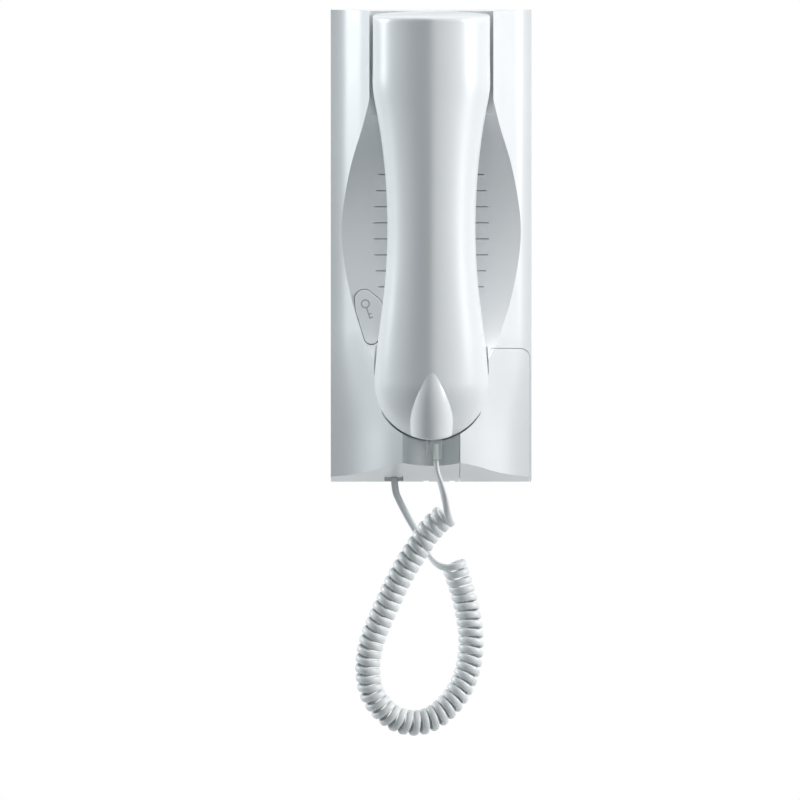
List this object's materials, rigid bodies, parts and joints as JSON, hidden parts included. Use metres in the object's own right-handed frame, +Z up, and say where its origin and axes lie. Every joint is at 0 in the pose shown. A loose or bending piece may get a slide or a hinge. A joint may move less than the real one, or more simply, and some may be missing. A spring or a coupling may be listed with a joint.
{
  "type": "audio intercom handset",
  "caption": "Wall-mounted audio intercom: handset resting in a sculpted base with a door release button, joined by a curly cord.",
  "frame": {"origin": "centre of the base's flat wall face", "axes": "+Z up, -Y out of the wall towards the room, +X to the right as seen from the room"},
  "size_m": [0.089, 0.0609, 0.3223],
  "materials": {
    "housing": "white satin-gloss moulded ABS",
    "housing_back": "white moulded ABS, matte",
    "button": "white satin-gloss moulded ABS",
    "white_pin": "natural white acetal",
    "board": "green solder mask on glass-fibre board",
    "black_part": "black moulded component body",
    "terminal": "green moulded polyamide",
    "screw": "zinc-plated steel",
    "capsule": "plain pressed aluminium",
    "foam": "open-cell foam",
    "boot": "moulded rubber",
    "clear_plug": "clear moulded polycarbonate",
    "cord": "white PVC cord jacket",
    "jack": "black moulded jack"
  },
  "bodies": {
    "base": {"base_cover": "housing", "accessory_cover": "housing", "button_switch": "black_part", "back_plate": "housing_back", "main_board": "board", "board_screws": "screw", "terminal_block": "terminal", "terminal_screws": "screw", "hook_switch": "black_part", "sounder": "black_part", "base_jack": "jack", "board_components": "black_part", "handset_lead": "cord", "curly_cord": "cord", "base_lead": "cord", "base_plug": "clear_plug"},
    "handset": {"handset_front": "housing", "handset_back": "housing", "ear_receiver": "capsule", "ear_gasket": "foam", "mic_capsule": "capsule", "mic_boot": "boot", "handset_board": "board", "handset_jack": "jack", "handset_screws": "screw", "handset_plug": "clear_plug"},
    "door_button": {"door_button": "button", "switch_stem": "white_pin"},
    "hook_plunger": {"hook_plunger": "white_pin"}
  },
  "joints": [
    {"name": "handset_lift", "type": "slide", "parent": "base", "child": "handset", "axis": [0, -1, 0], "range_m": [0, 0.045]},
    {"name": "door_button_press", "type": "slide", "parent": "base", "child": "door_button", "axis": [0, 1, 0], "range_m": [0, 0.001], "stiffness_N_per_m": 600, "springref_m": -0.001},
    {"name": "hook_plunger_slide", "type": "slide", "parent": "base", "child": "hook_plunger", "axis": [0, -1, 0], "range_m": [0, 0.0036]}
  ],
  "couplings": [
    {"joint": "hook_plunger_slide", "follows": "handset_lift", "ratio": 0.08}
  ]
}
